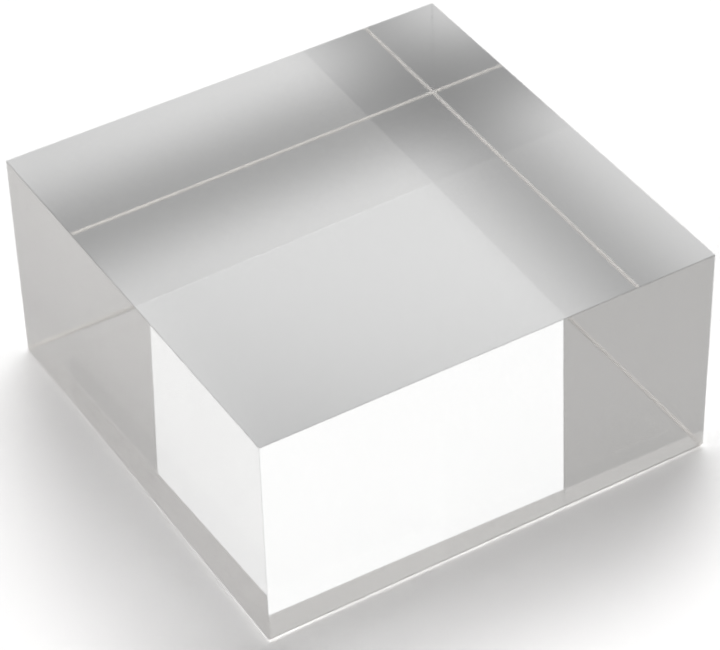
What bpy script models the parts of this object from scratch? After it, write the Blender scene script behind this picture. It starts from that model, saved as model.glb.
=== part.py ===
"""Clear acrylic display block: one square block cut from thick cast sheet and polished on all six faces.

Units are metres and +Z is up. The origin is the centre of the bottom face, where the block rests.
The block is one solid piece of plastic, so the whole object is one node with nothing that moves.
"""

import bmesh
import bpy
from mathutils import Matrix

MM = 0.001

# Driving dimensions.
SIDE = 101.6 * MM  # side of the square footprint: a 4 inch block
SHEET_THICKNESS = 50.0 * MM  # the cast sheet sold as 2 inch, which gives the block its height
EDGE_BREAK = 0.3 * MM  # leg of the 45 degree chamfer scraped along every edge

# Clear cast acrylic.
ACRYLIC_TINT = (0.985, 0.99, 0.985, 1.0)
ACRYLIC_IOR = 1.491
POLISHED_ROUGHNESS = 0.01


def clear_scene():
    """Removes whatever the scene holds, so that only the block is left at the end."""
    for leftover in list(bpy.data.objects):
        bpy.data.objects.remove(leftover)


def clear_acrylic():
    """The polished, see-through plastic that the block is cut from."""
    material = bpy.data.materials.new("clear_acrylic")
    material.use_nodes = True
    surface = material.node_tree.nodes["Principled BSDF"]
    surface.inputs["Base Color"].default_value = ACRYLIC_TINT
    surface.inputs["Metallic"].default_value = 0.0
    surface.inputs["Roughness"].default_value = POLISHED_ROUGHNESS
    surface.inputs["IOR"].default_value = ACRYLIC_IOR
    surface.inputs["Transmission Weight"].default_value = 1.0
    return material


def sawn_block_mesh(name):
    """The block as it leaves the saw, with sharp edges, standing on the plane Z = 0."""
    mesh = bpy.data.meshes.new(name)
    shape = bmesh.new()
    sides = Matrix.Diagonal((SIDE, SIDE, SHEET_THICKNESS, 1.0))
    lift = Matrix.Translation((0.0, 0.0, SHEET_THICKNESS / 2))
    bmesh.ops.create_cube(shape, size=1.0, matrix=lift @ sides)
    shape.to_mesh(mesh)
    shape.free()
    return mesh


def break_edges(block):
    """Scrapes the same small flat chamfer along all twelve edges."""
    bevel = block.modifiers.new("edge_break", "BEVEL")
    bevel.offset_type = "OFFSET"
    bevel.limit_method = "NONE"
    bevel.width = EDGE_BREAK
    bevel.segments = 1


def acrylic_block():
    """The finished block: sawn to size, its edges broken, and polished clear."""
    block = bpy.data.objects.new("acrylic_block", sawn_block_mesh("acrylic_block"))
    bpy.context.scene.collection.objects.link(block)
    block.data.materials.append(clear_acrylic())
    break_edges(block)
    return block


clear_scene()
acrylic_block()
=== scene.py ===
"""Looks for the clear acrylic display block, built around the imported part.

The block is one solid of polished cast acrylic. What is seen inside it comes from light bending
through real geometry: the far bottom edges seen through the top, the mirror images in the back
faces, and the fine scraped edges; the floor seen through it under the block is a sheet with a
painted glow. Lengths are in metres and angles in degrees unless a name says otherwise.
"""

import math

import bmesh
import bpy
from mathutils import Matrix, Quaternion, Vector, noise


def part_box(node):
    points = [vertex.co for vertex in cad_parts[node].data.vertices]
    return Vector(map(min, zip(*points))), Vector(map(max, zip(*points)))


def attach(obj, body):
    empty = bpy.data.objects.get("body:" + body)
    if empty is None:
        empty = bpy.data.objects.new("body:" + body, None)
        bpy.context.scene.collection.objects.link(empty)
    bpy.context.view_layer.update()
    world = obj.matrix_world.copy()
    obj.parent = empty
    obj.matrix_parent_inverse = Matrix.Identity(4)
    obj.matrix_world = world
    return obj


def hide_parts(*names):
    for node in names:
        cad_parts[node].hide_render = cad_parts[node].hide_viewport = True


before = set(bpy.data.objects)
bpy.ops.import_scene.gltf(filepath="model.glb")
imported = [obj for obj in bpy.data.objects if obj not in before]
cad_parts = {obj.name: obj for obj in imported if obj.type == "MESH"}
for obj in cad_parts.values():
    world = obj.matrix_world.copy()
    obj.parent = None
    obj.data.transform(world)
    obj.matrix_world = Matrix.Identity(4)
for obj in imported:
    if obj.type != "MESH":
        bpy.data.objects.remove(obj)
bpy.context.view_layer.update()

MM = 0.001
NODE = "acrylic_block"
LOW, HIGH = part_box(NODE)
SIDE = HIGH.x - LOW.x
HALF = SIDE / 2

# Edges. The four bottom edges are scraped; the others are only just taken off.
EDGE_STEPS = 72  # stretches along each edge, fine enough for the scraper's chatter
# A hand scrape differs from edge to edge: how far it runs in under the block, and how far up the
# side face that it is on.
LEFT_SCRAPE = (0.25 * MM, 0.20 * MM)
FRONT_SCRAPE = (0.50 * MM, 0.95 * MM)
BACK_SCRAPE = (0.50 * MM, 0.80 * MM)  # and the right one
# The scrapes by (axis of the side face, its side on that axis).
SCRAPES = {(0, -1): LEFT_SCRAPE, (1, -1): FRONT_SCRAPE, (0, 1): BACK_SCRAPE, (1, 1): BACK_SCRAPE}
TOP_CUT = 0.05 * MM
UPRIGHT_CUT = 0.12 * MM
FRONT_UPRIGHT_CUT = 0.03 * MM  # the upright edge between the left and the front face
CUT_WANDER = 0.06  # how far a cut's width wanders, as a share of it
WANDER_LENGTH = 18 * MM
CHATTER_LENGTH = 2.5 * MM
CHATTER_SHARE = 0.25  # of the wander

# Plastic.
POLISHED, SCRAPED, HONED = range(3)  # the block's material slots
ACRYLIC_IOR = 1.491
CLEAR = (0.996, 0.997, 0.995, 1.0)
HANDLED = (0.988, 0.989, 0.985, 1.0)
SCRAPED_PALE = (0.995, 0.975, 0.945, 1.0)
SCRAPED_DULL = (0.955, 0.935, 0.905, 1.0)
MIDDLING = (0.35, 0.65)  # soft noise mostly keeps between these

# What handling leaves on the polished faces. A triple is (size of the noise, noise where the mark
# starts, noise where it is full).
SMEARS = (22 * MM, 0.50, 0.75)
SMEAR_ROUGHNESS = 0.015
HAIRLINES = (9 * MM, 0.74, 0.80)
HAIRLINE_ROUGHNESS = 0.10
HAIRLINE_TURN = (0.3, 0.5, 0.7)
HAIRLINE_STRETCH = 30.0  # how much longer than wide the hairlines are
NICKS = (0.5 * MM, 0.56, 0.70)
NICK_ROUGHNESS = 0.30
NICK_DEPTH = 0.25  # as a share of WAVE_DEPTH
NICKED_BAND = 0.7 * MM  # the nicks keep this near to an edge
DUST_SPACING = 11 * MM
DUST_CORE = 0.015  # a speck's radius, and where it ends, as shares of DUST_SPACING
DUST_END = 0.045
DUST_ROUGHNESS = 0.22
DUST_SHADE = 0.8
WAVE_SIZE = 28 * MM  # polishing leaves the faces very slightly wavy
WAVE_DEPTH = 0.012 * MM

# The scraped and the honed edges.
SCRAPED_PATCHES = (3.0 * MM, 0.45, 0.70)
SCRAPED_GRAIN = 1.2 * MM
SCRAPED_ROUGHNESS = (0.80, 0.96)
SCRATCH_SIZE = 0.4 * MM
SCRATCH_DEPTH = 0.005 * MM
HONED_PATCH_SIZE = 2.0 * MM
HONED_ROUGHNESS = (0.08, 0.30)
HONED_DEPTH = 0.004 * MM

# The light round the block: bearings are clockwise from +Y seen from above, elevations above the
# floor. Each panel is (name, strength, warmth, bearing, elevation, radius of its full part, radius
# where it ends).
STUDIO_PANELS = (
    ("key_box", 2.52, 0.0, 35.7, 68.6, 12.0, 24.0),
    ("back_panel", 0.97, 0.0, 45.9, 32.9, 21.1, 39.7),
    ("left_box", 1.08, 0.0, 276.1, 38.7, 6.9, 33.6),
    ("front_right_box", 0.89, 0.018, 137.7, 10.3, 13.0, 56.1),
    ("front_fill", 0.84, 0.018, 168.4, 50.4, 1.0, 13.4),
    ("back_left_box", 0.38, 0.018, 319.1, 33.9, 20.4, 33.2),
    ("camera_fill", 0.15, 0.018, 212.0, 36.0, 10.0, 25.0),
)
ROOM_LIGHT = 0.071
BACKDROP_WHITE = 1.1  # what the camera sees past the floor
# The backdrop as the block bends and mirrors it: full up to one height, gone above another.
BACKDROP_GLOW = 0.50
BACKDROP_FULL = math.sin(math.radians(8.0))
BACKDROP_TOP = math.sin(math.radians(31.0))

# The floor: white paper.
FLOOR_SIZE = 40.0
FLOOR_GAP = 0.03 * MM
FLOOR_WHITE = 0.83
PAPER_TINT = (1.015, 1.0, 0.985, 1.0)  # a touch warm, where it is seen through the block
# The sheet under the block, seen only through it: glossy, with a smooth glow of its own that stands
# in for the light that reaches it through the plastic. The glow is fullest toward the middle and
# falls away along the two back edges, where the walls keep the key light off it. Places on it are
# shares of the block's side.
SHEET_IOR = 1.5
SHEET_RIM = 0.5 * MM  # this much of its rim lies open under the scraped edges
SHEET_SHADE = 0.166  # its brightness with no key light
# What the key light adds, as factors of 1, x, y, xx, xy and yy. It stays even further left than
# SHEET_PLAIN_X, and nearer the front than SHEET_PLAIN_Y.
SHEET_KEYED = (0.423, 0.184, 0.146, -0.176, -0.356, -0.373)
SHEET_PLAIN_X = -0.34
SHEET_PLAIN_Y = -0.28
SHEET_FALL_X = (0.618, 0.272, 0.513)  # share of the key light lost, from where, to where
SHEET_FALL_Y = (0.711, 0.246, 0.489)
SHEET_LEFT = (0.051, 0.25, 0.45)  # light let in by the left wall, from where, to where
SHEET_LEFT_ENDS = (0.18, 0.32)  # where it gives out toward the back
# The far floor is painted brighter, standing in for the lit sweep up to the backdrop.
SWEEP_GAIN = 1.35  # the far floor seen through the block, where it sweeps up to the backdrop
SWEEP_FROM = 0.8 * SIDE
SWEEP_TO = 1.8 * SIDE
# The floor as the camera sees it is painted brighter than the paper that the lamps light: the lamps'
# soft grey shadow is kept near the block, and the painted whitening fades it out to pure white.
NEAR_GAIN = 1.32
FAR_GAIN = 1.893
FADE_FROM = 0.114 * SIDE
FADE_TO = 0.422 * SIDE
BACK_CLEARS_FROM = -0.238 * SIDE  # past here the fade comes sooner, by the square of how far
BACK_CLEARING = 0.496 / SIDE
RIGHT_CLEARS_FROM = 0.132 * SIDE
RIGHT_CLEARING = 1.436 / SIDE
# A painted glow on the floor along the front foot, standing in for light that leaks out there: (reach,
# gain, share of it along the other sides).
FOOT_PAINTED_GLOW = (1.41 * MM, 0.39, 0.5)
FOOT_PAINTED_LINE = (0.40 * MM, 0.25, 0.15)
FOOT_TURN = 60 * MM  # how far back from the front the shares settle

# Camera.
AIM = Vector((-0.0261, -0.0591, 0.2458)) * SIDE
CAMERA_DISTANCE = 6.264 * SIDE
CAMERA_BEARING = 210.442
CAMERA_ELEVATION = 40.3383
CAMERA_ROLL = -1.5835
CAMERA_LENS = 158.86
SENSOR_WIDTH = 36.0
LENS_SOFTNESS = 2.2  # width of a point of light in the picture, in picture elements

# How light is followed.
LIGHT_BOUNCES = 24
LIGHT_MAP_SIZE = 1024


# -------------------------------------------------------------------------------------------------
# Node helpers
# -------------------------------------------------------------------------------------------------


def empty_tree(owner):
    """Turns on the owner's nodes and clears them, and gives the tree back."""
    owner.use_nodes = True
    owner.node_tree.nodes.clear()
    return owner.node_tree


def add(tree, kind, settings=None, **inputs):
    """Adds a node. settings are its own options; inputs are values, or outputs to link from."""
    node = tree.nodes.new("ShaderNode" + kind)
    for option, value in (settings or {}).items():
        setattr(node, option, value)
    for name, value in inputs.items():
        numbered = name[0] == "i" and name[1:].isdigit()
        socket = node.inputs[int(name[1:]) if numbered else name.replace("_", " ")]
        if isinstance(value, bpy.types.NodeSocket):
            tree.links.new(value, socket)
        else:
            socket.default_value = value
    return node


def maths(tree, operation, first, second=0.0):
    """One math node's output."""
    return add(tree, "Math", {"operation": operation}, i0=first, i1=second).outputs[0]


def ramp(tree, value, start, end, at_start, at_end):
    """A smooth change from at_start to at_end as value goes from start to end."""
    node = add(
        tree,
        "MapRange",
        {"interpolation_type": "SMOOTHSTEP"},
        Value=value,
        From_Min=start,
        From_Max=end,
        To_Min=at_start,
        To_Max=at_end,
    )
    return node.outputs[0]


def cloud(tree, place, size, detail=2.0, distortion=0.0):
    """Soft noise from 0 to 1 whose features are about this size."""
    settings = {"Scale": 1.0 / size, "Detail": detail, "Distortion": distortion}
    return add(tree, "TexNoise", Vector=place, **settings).outputs["Fac"]


def patches(tree, place, spread, **noise_options):
    """0 to 1 where soft noise rises past a threshold. spread is (size, where from, where to)."""
    size, start, end = spread
    return ramp(tree, cloud(tree, place, size, **noise_options), start, end, 0.0, 1.0)


# -------------------------------------------------------------------------------------------------
# The block's shape
# -------------------------------------------------------------------------------------------------


def cut_width(face_axis, run, signs, along):
    """How far an edge's cut reaches into the face that lies across face_axis.

    run is the axis the edge follows, signs are its sides on the other two axes, and along is the
    place on it. A slow wander and a fine chatter keep it from being ruler-straight.
    """
    if run == 2:
        width = FRONT_UPRIGHT_CUT if signs == [-1, -1] else UPRIGHT_CUT
    elif signs[1] > 0:
        width = TOP_CUT
    else:
        cut_in, cut_up = SCRAPES[(1 - run, signs[0])]
        width = cut_in if face_axis == 2 else cut_up
    edge = run * 4 + (signs[0] > 0) * 2 + (signs[1] > 0) + 1
    # Each edge reads its own stretch of noise, and the chatter reads other noise than the wander.
    wander = noise.noise(Vector((along / WANDER_LENGTH, edge * 7.3, 0.0)))
    chatter = noise.noise(Vector((along / CHATTER_LENGTH, edge * 3.1, 5.0)))
    return width * (1.0 + CUT_WANDER * (wander + CHATTER_SHARE * chatter))


def others(axis):
    """The two other axes."""
    return [a for a in range(3) if a != axis]


def rim_point(face_axis, face_side, run, across_side, along):
    """A point on the rim of a flat, beside the edge that follows run."""
    across = next(a for a in others(face_axis) if a != run)
    sides = {face_axis: face_side, across: across_side}
    signs = [sides[a] for a in others(run)]
    width = cut_width(face_axis, run, signs, along)
    point = [0.0, 0.0, 0.0]
    point[face_axis] = HIGH[face_axis] if face_side > 0 else LOW[face_axis]
    point[across] = (HIGH[across] if across_side > 0 else LOW[across]) - across_side * width
    point[run] = along
    return point


def corner_point(face_axis, face_side, side_u, side_v):
    """The corner of a flat, set in from both of the edges that meet there."""
    u, v = others(face_axis)
    end_u = HIGH[u] if side_u > 0 else LOW[u]
    end_v = HIGH[v] if side_v > 0 else LOW[v]
    beside_u = rim_point(face_axis, face_side, u, side_v, end_u)
    beside_v = rim_point(face_axis, face_side, v, side_u, end_v)
    point = [0.0, 0.0, 0.0]
    point[face_axis] = beside_u[face_axis]
    point[u] = beside_v[u]
    point[v] = beside_u[v]
    return point


def add_corners(shape):
    """The 24 corners of the six flats, by (face axis, face side, side on u, side on v)."""
    corners = {}
    for axis in range(3):
        for side in (-1, 1):
            for su in (-1, 1):
                for sv in (-1, 1):
                    place = corner_point(axis, side, su, sv)
                    corners[(axis, side, su, sv)] = shape.verts.new(place)
    return corners


def rim_row(shape, start, end, face_axis, face_side, run, across_side):
    """Vertices from one corner of a flat to the next, beside the edge that follows run."""
    row = [start]
    for step in range(1, EDGE_STEPS):
        share = step / EDGE_STEPS
        along = start.co[run] * (1 - share) + end.co[run] * share
        row.append(shape.verts.new(rim_point(face_axis, face_side, run, across_side, along)))
    row.append(end)
    return row


def add_rims(shape, corners):
    """Vertices along each side of each flat, by (face axis, face side, run, side across)."""
    rims = {}
    for axis in range(3):
        u, v = others(axis)
        for side in (-1, 1):
            for sign in (-1, 1):
                along_u = [corners[(axis, side, end, sign)] for end in (-1, 1)]
                along_v = [corners[(axis, side, sign, end)] for end in (-1, 1)]
                for run, ends in ((u, along_u), (v, along_v)):
                    rims[(axis, side, run, sign)] = rim_row(shape, *ends, axis, side, run, sign)
    return rims


def add_face(shape, loop, outward, slot):
    """A face turned to look outward, with its material slot."""
    face = shape.faces.new(loop)
    face.normal_update()
    if face.normal.dot(Vector(outward)) < 0:
        face.normal_flip()
    face.material_index = slot


def add_flats(shape, rims):
    """The six polished flats, each one face."""
    for axis in range(3):
        u, v = others(axis)
        for side in (-1, 1):
            loop = rims[(axis, side, u, -1)][:-1]
            loop += rims[(axis, side, v, 1)][:-1]
            loop += rims[(axis, side, u, 1)][:0:-1]
            loop += rims[(axis, side, v, -1)][:0:-1]
            outward = [0.0, 0.0, 0.0]
            outward[axis] = side
            add_face(shape, loop, outward, POLISHED)


def add_edge_strips(shape, rims):
    """The cut faces along the twelve edges: scraped at the bottom, honed elsewhere."""
    for run in range(3):
        a, b = others(run)
        for side_a in (-1, 1):
            for side_b in (-1, 1):
                on_a = rims[(a, side_a, run, side_b)]
                on_b = rims[(b, side_b, run, side_a)]
                outward = [0.0, 0.0, 0.0]
                outward[a] = side_a
                outward[b] = side_b
                slot = SCRAPED if b == 2 and side_b < 0 else HONED
                for step in range(EDGE_STEPS):
                    loop = (on_a[step], on_a[step + 1], on_b[step + 1], on_b[step])
                    add_face(shape, loop, outward, slot)


def add_corner_facets(shape, corners):
    """The little triangle where three cut edges meet, at each of the eight corners."""
    for sx in (-1, 1):
        for sy in (-1, 1):
            for sz in (-1, 1):
                keys = ((0, sx, sy, sz), (1, sy, sx, sz), (2, sz, sx, sy))
                loop = [corners[key] for key in keys]
                add_face(shape, loop, (sx, sy, sz), SCRAPED if sz < 0 else HONED)


def block_mesh():
    """The block as one closed shell: six flats, twelve edge strips and eight corner facets."""
    shape = bmesh.new()
    corners = add_corners(shape)
    rims = add_rims(shape, corners)
    add_flats(shape, rims)
    add_edge_strips(shape, rims)
    add_corner_facets(shape, corners)
    mesh = bpy.data.meshes.new("clear_block")
    shape.to_mesh(mesh)
    shape.free()
    return mesh


# -------------------------------------------------------------------------------------------------
# The block's plastic
# -------------------------------------------------------------------------------------------------


def edge_distance(tree, place):
    """Distance over the surface to the nearest edge: the middle one of the distances to the faces."""
    parts = add(tree, "SeparateXYZ", i0=place)
    middle_z = maths(tree, "SUBTRACT", parts.outputs[2], (LOW.z + HIGH.z) / 2)
    half_sizes = (HALF, HALF, (HIGH.z - LOW.z) / 2)
    gaps = []
    for part, half in zip((parts.outputs[0], parts.outputs[1], middle_z), half_sizes):
        gaps.append(maths(tree, "SUBTRACT", half, maths(tree, "ABSOLUTE", part)))
    small = maths(tree, "MINIMUM", gaps[0], gaps[1])
    large = maths(tree, "MAXIMUM", gaps[0], gaps[1])
    return maths(tree, "MAXIMUM", small, maths(tree, "MINIMUM", large, gaps[2]))


def plastic(tree, colour, roughness, normal):
    """See-through acrylic with this colour, roughness and surface relief."""
    surface = add(
        tree,
        "BsdfPrincipled",
        Base_Color=colour,
        Roughness=roughness,
        IOR=ACRYLIC_IOR,
        Transmission_Weight=1.0,
        Normal=normal,
    )
    add(tree, "OutputMaterial", Surface=surface.outputs[0])


def relief(tree, height, depth):
    """Surface relief from a height of 0 to 1 and a depth in metres."""
    return add(tree, "Bump", Height=height, Distance=depth, Strength=1.0).outputs[0]


def mixed(tree, share, first, second):
    """first blended to second by share."""
    node = add(tree, "Mix", {"data_type": "RGBA"}, i0=share, i6=first, i7=second)
    return node.outputs[2]


def clear_acrylic():
    """Polished cast acrylic with what handling leaves: faint smears, hairlines, dust, edge nicks."""
    material = bpy.data.materials.new("clear_acrylic")
    tree = empty_tree(material)
    place = add(tree, "TexCoord").outputs["Object"]

    smears = patches(tree, place, SMEARS, detail=3.0, distortion=1.2)
    stretch = (1.0, HAIRLINE_STRETCH, HAIRLINE_STRETCH)
    stretched = add(tree, "Mapping", Vector=place, Rotation=HAIRLINE_TURN, Scale=stretch).outputs[0]
    hairlines = patches(tree, stretched, HAIRLINES, detail=1.0)
    cells = add(tree, "TexVoronoi", Vector=place, Scale=1.0 / DUST_SPACING, Randomness=1.0)
    dust = ramp(tree, cells.outputs["Distance"], DUST_CORE, DUST_END, 1.0, 0.0)
    near_edge = ramp(tree, edge_distance(tree, place), 0.0, NICKED_BAND, 1.0, 0.0)
    nicks = maths(tree, "MULTIPLY", near_edge, patches(tree, place, NICKS))

    dusty = maths(tree, "MULTIPLY", dust, DUST_ROUGHNESS)
    roughness = maths(tree, "ADD", maths(tree, "MULTIPLY", hairlines, HAIRLINE_ROUGHNESS), dusty)
    for mark, amount in ((nicks, NICK_ROUGHNESS), (smears, SMEAR_ROUGHNESS)):
        roughness = maths(tree, "ADD", roughness, maths(tree, "MULTIPLY", mark, amount))
    shade = maths(tree, "ADD", smears, maths(tree, "MULTIPLY", dust, DUST_SHADE))
    colour = mixed(tree, maths(tree, "MINIMUM", shade, 1.0), CLEAR, HANDLED)
    waves = cloud(tree, place, WAVE_SIZE, detail=0.0)
    nicked = maths(tree, "SUBTRACT", waves, maths(tree, "MULTIPLY", nicks, NICK_DEPTH))
    plastic(tree, colour, roughness, relief(tree, nicked, WAVE_DEPTH))
    return material


def scraped_edge():
    """A bottom edge: scraped and left satin, with the scraper's chatter across it."""
    material = bpy.data.materials.new("scraped_edge")
    tree = empty_tree(material)
    place = add(tree, "TexCoord").outputs["Object"]
    dull = patches(tree, place, SCRAPED_PATCHES, detail=3.0)
    colour = mixed(tree, dull, SCRAPED_PALE, SCRAPED_DULL)
    grain = cloud(tree, place, SCRAPED_GRAIN)
    roughness = ramp(tree, grain, *MIDDLING, *SCRAPED_ROUGHNESS)
    scratches = cloud(tree, place, SCRATCH_SIZE)
    plastic(tree, colour, roughness, relief(tree, scratches, SCRATCH_DEPTH))
    return material


def honed_edge():
    """A top or upright edge: just taken off and half polished."""
    material = bpy.data.materials.new("honed_edge")
    tree = empty_tree(material)
    place = add(tree, "TexCoord").outputs["Object"]
    worn = cloud(tree, place, HONED_PATCH_SIZE)
    colour = mixed(tree, worn, CLEAR, HANDLED)
    roughness = ramp(tree, worn, *MIDDLING, *HONED_ROUGHNESS)
    plastic(tree, colour, roughness, relief(tree, worn, HONED_DEPTH))
    return material


def build_block():
    """The one piece, riding on the part's one body."""
    block = bpy.data.objects.new("clear_block", block_mesh())
    bpy.context.scene.collection.objects.link(block)
    for material in (clear_acrylic(), scraped_edge(), honed_edge()):
        block.data.materials.append(material)
    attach(block, "root")
    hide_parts(NODE)


# -------------------------------------------------------------------------------------------------
# Studio: floor, light and camera
# -------------------------------------------------------------------------------------------------


def direction(bearing, elevation):
    """Unit vector for a bearing clockwise from +Y and an elevation above the floor."""
    turn, rise = math.radians(bearing), math.radians(elevation)
    level = math.cos(rise)
    return Vector((level * math.sin(turn), level * math.cos(turn), math.sin(rise)))


def switched(tree, switch, off, on):
    """off or on, as switch is 0 or 1."""
    return add(tree, "Mix", {"data_type": "FLOAT"}, i0=switch, i2=off, i3=on).outputs[0]


def distance_outside(tree, x, y):
    """Distance on the floor from the block's outline, 0 under the block."""
    squares = []
    for part in (x, y):
        past = maths(tree, "SUBTRACT", maths(tree, "ABSOLUTE", part), HALF)
        past = maths(tree, "MAXIMUM", past, 0.0)
        squares.append(maths(tree, "MULTIPLY", past, past))
    return maths(tree, "SQRT", maths(tree, "ADD", *squares))


def fading(tree, away, reach, strength):
    """strength at the block's foot, dying away over reach."""
    fall = maths(tree, "EXPONENT", maths(tree, "MULTIPLY", away, -1.0 / reach))
    return maths(tree, "MULTIPLY", fall, strength)


def clearing(tree, place, start, amount):
    """A growing allowance past start."""
    past = maths(tree, "MAXIMUM", maths(tree, "SUBTRACT", place, start), 0.0)
    return maths(tree, "MULTIPLY", maths(tree, "MULTIPLY", past, past), amount)


def painted_floor_gain(tree, x, y):
    """How much brighter the camera sees the floor: painted whitening that leaves a soft foot shadow,
    and painted glow along the foot.
    """
    away = distance_outside(tree, x, y)
    cleared = maths(tree, "ADD", away, clearing(tree, y, BACK_CLEARS_FROM, BACK_CLEARING))
    cleared = maths(tree, "ADD", cleared, clearing(tree, x, RIGHT_CLEARS_FROM, RIGHT_CLEARING))
    gain = ramp(tree, cleared, FADE_FROM, FADE_TO, NEAR_GAIN, FAR_GAIN)
    # a painted glow and a thin painted bright line on the floor along the foot
    for reach, glow, side_share in (FOOT_PAINTED_GLOW, FOOT_PAINTED_LINE):
        share = ramp(tree, y, -HALF, -HALF + FOOT_TURN, 1.0, side_share)
        light = maths(tree, "MULTIPLY", fading(tree, away, reach, glow), share)
        gain = maths(tree, "ADD", gain, light)
    return gain


def polynomial(tree, x, y, factors):
    """factors of 1, x, y, xx, xy and yy, summed."""
    total = factors[0]
    squares = [maths(tree, "MULTIPLY", *pair) for pair in ((x, x), (x, y), (y, y))]
    for term, factor in zip((x, y, *squares), factors[1:]):
        total = maths(tree, "ADD", total, maths(tree, "MULTIPLY", term, factor))
    return total


def sheet_light(tree, x, y):
    """How bright the sheet is under the block."""
    x = maths(tree, "MULTIPLY", x, 1.0 / SIDE)
    y = maths(tree, "MULTIPLY", y, 1.0 / SIDE)
    inner_x = maths(tree, "MAXIMUM", x, SHEET_PLAIN_X)
    inner_y = maths(tree, "MAXIMUM", y, SHEET_PLAIN_Y)
    keyed = polynomial(tree, inner_x, inner_y, SHEET_KEYED)
    for place, (loss, start, end) in ((x, SHEET_FALL_X), (y, SHEET_FALL_Y)):
        keyed = maths(tree, "MULTIPLY", keyed, ramp(tree, place, start, end, 1.0, 1.0 - loss))
    gain, start, end = SHEET_LEFT
    left = ramp(tree, maths(tree, "MULTIPLY", x, -1.0), start, end, 0.0, gain)
    left = maths(tree, "MULTIPLY", left, ramp(tree, y, *SHEET_LEFT_ENDS, 1.0, 0.0))
    return maths(tree, "ADD", keyed, maths(tree, "ADD", left, SHEET_SHADE))


def paper_colour(tree, x, y, seen):
    """The paper's colour: plain for bounced light, whitened with painted light where the camera itself
    sees it.
    """
    # painted brightening of the far floor where the camera doesn't see it directly
    far = ramp(tree, distance_outside(tree, x, y), SWEEP_FROM, SWEEP_TO, 1.0, SWEEP_GAIN)
    gain = switched(tree, seen, far, painted_floor_gain(tree, x, y))
    shade = maths(tree, "MULTIPLY", gain, FLOOR_WHITE)
    tint = mixed(tree, seen, PAPER_TINT, (1.0, 1.0, 1.0, 1.0))
    return add(tree, "VectorMath", {"operation": "SCALE"}, i0=tint, Scale=shade).outputs[0]


def studio_paper():
    """White paper, with the sheet under the block and its painted glow, which only the block's plastic
    sees.
    """
    material = bpy.data.materials.new("studio_floor")
    tree = empty_tree(material)
    x, y, _ = add(tree, "SeparateXYZ", i0=add(tree, "NewGeometry").outputs["Position"]).outputs
    seen = add(tree, "LightPath").outputs["Is Camera Ray"]
    paper = add(tree, "BsdfDiffuse", Color=paper_colour(tree, x, y, seen))
    sheet = add(
        tree,
        "BsdfPrincipled",
        Base_Color=(0.0, 0.0, 0.0, 1.0),
        Roughness=0.0,
        IOR=SHEET_IOR,
        Emission_Color=(1.0, 1.0, 1.0, 1.0),
        Emission_Strength=sheet_light(tree, x, y),
    )
    reach = maths(tree, "MAXIMUM", maths(tree, "ABSOLUTE", x), maths(tree, "ABSOLUTE", y))
    outside = maths(tree, "GREATER_THAN", reach, HALF - SHEET_RIM)
    plain = maths(tree, "MAXIMUM", outside, seen)
    surface = add(tree, "MixShader", i0=plain, i1=sheet.outputs[0], i2=paper.outputs[0])
    add(tree, "OutputMaterial", Surface=surface.outputs[0])
    material.cycles.emission_sampling = "NONE"
    return material


def build_floor():
    """One wide flat sheet, just under the block."""
    mesh = bpy.data.meshes.new("studio_floor")
    shape = bmesh.new()
    bmesh.ops.create_grid(shape, x_segments=1, y_segments=1, size=FLOOR_SIZE / 2)
    shape.to_mesh(mesh)
    shape.free()
    mesh.materials.append(studio_paper())
    floor = bpy.data.objects.new("studio_floor", mesh)
    bpy.context.scene.collection.objects.link(floor)
    floor.location.z = LOW.z - FLOOR_GAP


def panel_light(tree, heading, strength, warmth, bearing, elevation, full, end):
    """Light from one soft round panel: full in its middle, fading smoothly to nothing at its rim."""
    aim = direction(bearing, elevation)
    facing = add(tree, "VectorMath", {"operation": "DOT_PRODUCT"}, i0=heading, i1=aim)
    angle = maths(tree, "ARCCOSINE", facing.outputs["Value"])
    glow = ramp(tree, angle, math.radians(full), math.radians(end), strength, 0.0)
    tint = (1.0 + warmth, 1.0, 1.0 - warmth)
    return add(tree, "VectorMath", {"operation": "SCALE"}, i0=tint, Scale=glow).outputs[0]


def backdrop_light(tree, heading, path):
    """The backdrop, only where the block bends or mirrors it, so that it doesn't light the floor."""
    height = add(tree, "SeparateXYZ", i0=heading).outputs[2]
    glow = ramp(tree, height, BACKDROP_FULL, BACKDROP_TOP, BACKDROP_GLOW, 0.0)
    bent = maths(tree, "MAXIMUM", path["Is Transmission Ray"], path["Is Glossy Ray"])
    off_floor = maths(tree, "LESS_THAN", path["Diffuse Depth"], 0.5)
    return maths(tree, "MULTIPLY", glow, maths(tree, "MULTIPLY", bent, off_floor))


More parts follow.
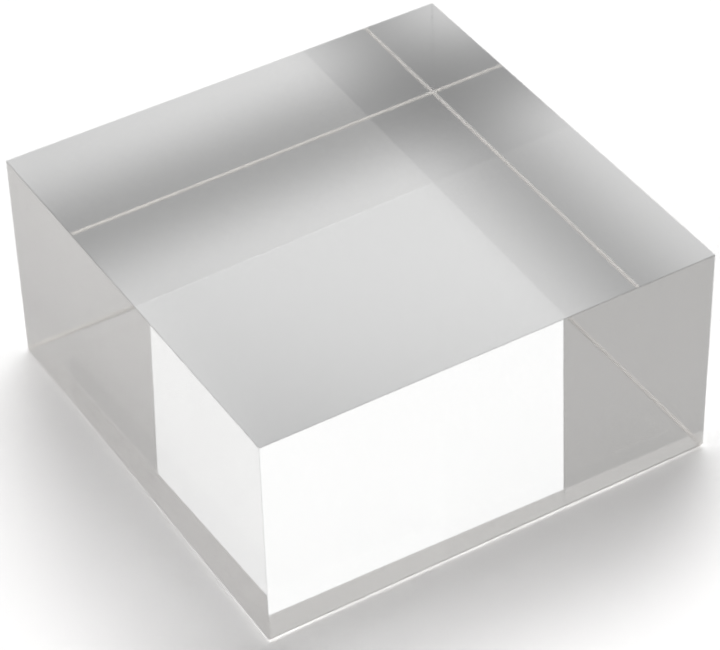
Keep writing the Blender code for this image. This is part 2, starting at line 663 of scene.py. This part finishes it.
def build_light():
    """Soft panels all round; the camera itself sees a plain white backdrop."""
    world = bpy.data.worlds.new("studio")
    bpy.context.scene.world = world
    tree = empty_tree(world)
    path = add(tree, "LightPath").outputs
    heading = add(tree, "TexCoord").outputs["Generated"]
    total = (ROOM_LIGHT, ROOM_LIGHT, ROOM_LIGHT)
    for _, *panel in STUDIO_PANELS:
        light = panel_light(tree, heading, *panel)
        total = add(tree, "VectorMath", {"operation": "ADD"}, i0=total, i1=light).outputs[0]
    backdrop = backdrop_light(tree, heading, path)
    total = add(tree, "VectorMath", {"operation": "MAXIMUM"}, i0=total, i1=backdrop).outputs[0]
    glow = add(tree, "Background", Color=total, Strength=1.0)
    plain = add(tree, "Background", Color=(1.0, 1.0, 1.0, 1.0), Strength=BACKDROP_WHITE)
    mix = add(tree, "MixShader", i0=path["Is Camera Ray"], i1=glow.outputs[0], i2=plain.outputs[0])
    add(tree, "OutputWorld", Surface=mix.outputs[0])
    world.cycles.sampling_method = "MANUAL"
    world.cycles.sample_map_resolution = LIGHT_MAP_SIZE


def build_camera():
    """A long lens from the front left, well above the block."""
    camera = bpy.data.objects.new("camera", bpy.data.cameras.new("camera"))
    bpy.context.scene.collection.objects.link(camera)
    bpy.context.scene.camera = camera
    camera.data.sensor_width = SENSOR_WIDTH
    camera.data.lens = CAMERA_LENS
    camera.data.clip_start = 0.01
    camera.data.clip_end = 100.0
    back = direction(CAMERA_BEARING, CAMERA_ELEVATION)
    upright = back.to_track_quat("Z", "Y")
    rolled = Quaternion(back, math.radians(CAMERA_ROLL)) @ upright
    place = Matrix.Translation(AIM + back * CAMERA_DISTANCE)
    camera.matrix_world = place @ rolled.to_matrix().to_4x4()


def set_picture():
    """How light paths are followed and how brightness is shown."""
    scene = bpy.context.scene
    scene.view_settings.view_transform = "Standard"
    scene.cycles.max_bounces = LIGHT_BOUNCES
    scene.cycles.transmission_bounces = LIGHT_BOUNCES
    scene.cycles.glossy_bounces = LIGHT_BOUNCES
    scene.cycles.blur_glossy = 0.0
    scene.cycles.filter_width = LENS_SOFTNESS
    scene.cycles.use_denoising = True
    scene.cycles.denoising_input_passes = "RGB"


build_block()
build_floor()
build_light()
build_camera()
set_picture()
